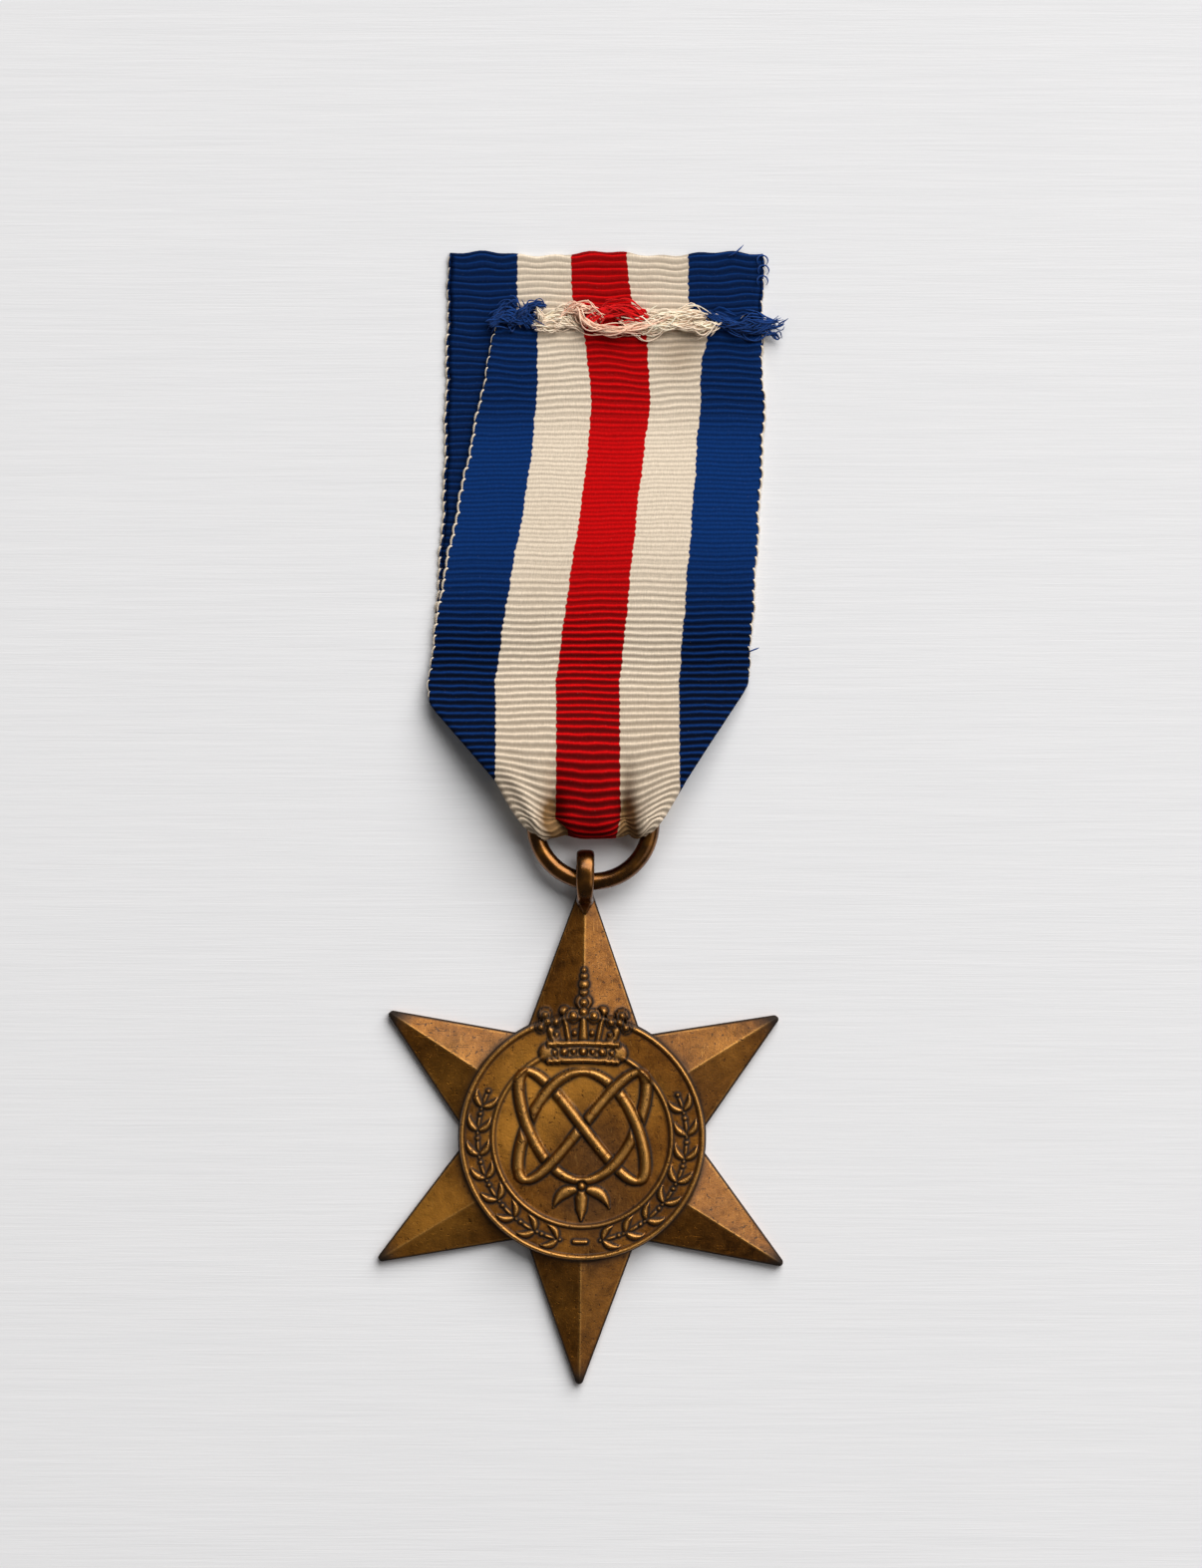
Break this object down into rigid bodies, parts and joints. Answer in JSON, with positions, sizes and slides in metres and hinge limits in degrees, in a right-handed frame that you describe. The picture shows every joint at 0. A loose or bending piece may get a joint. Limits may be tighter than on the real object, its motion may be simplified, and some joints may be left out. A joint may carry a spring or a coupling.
{
  "type": "service medal",
  "caption": "Bronze star medal with a raised disc and leaf crown, hung by an eyelet and wire ring from a striped ribbon folded double, mitred and tacked.",
  "frame": {"origin": "middle of the whole medal in plan, on the table it lies on", "axes": "+X across the medal, +Y up its length from the star to the ribbon's top, +Z out of its face"},
  "size_m": [0.0418, 0.1168, 0.0049],
  "materials": {
    "ribbon_cloth": "corded ribbed weave, blue, cream and red stripes",
    "sewing_thread": "matt spun thread",
    "ring_bronze": "worn antique bronze, smooth, semi-gloss",
    "star_bronze": "antique bronze with dark patina in the recesses and rubbed edges"
  },
  "bodies": {
    "ribbon": {"ribbon_front_leaf": "ribbon_cloth", "ribbon_back_leaf": "ribbon_cloth", "tacking_thread": "sewing_thread"},
    "ribbon_neck": {"mitre_panel_front": "ribbon_cloth", "mitre_panel_back": "ribbon_cloth", "mitre_fold_front_left": "ribbon_cloth", "mitre_fold_front_right": "ribbon_cloth", "mitre_fold_back_left": "ribbon_cloth", "mitre_fold_back_right": "ribbon_cloth", "ribbon_turn": "ribbon_cloth"},
    "ring": {"suspension_ring": "ring_bronze"},
    "star": {"star": "star_bronze", "eyelet": "ring_bronze"}
  },
  "joints": [
    {"name": "ribbon_flex", "type": "hinge", "parent": "ribbon", "child": "ribbon_neck", "pos_m": [0.0013, 0.01325, 0.0012], "axis": [1, 0, 0], "range_deg": [-60, 60]},
    {"name": "ring_turn", "type": "hinge", "parent": "ribbon_neck", "child": "ring", "pos_m": [0.00127, -0.00039, 0.0025], "axis": [0, 0, 1], "range_deg": [-30, 30]},
    {"name": "star_swing", "type": "hinge", "parent": "ring", "child": "star", "pos_m": [0.00047, -0.0063, 0.0025], "axis": [0.9999, -0.012, 0], "range_deg": [-95, 95]}
  ]
}
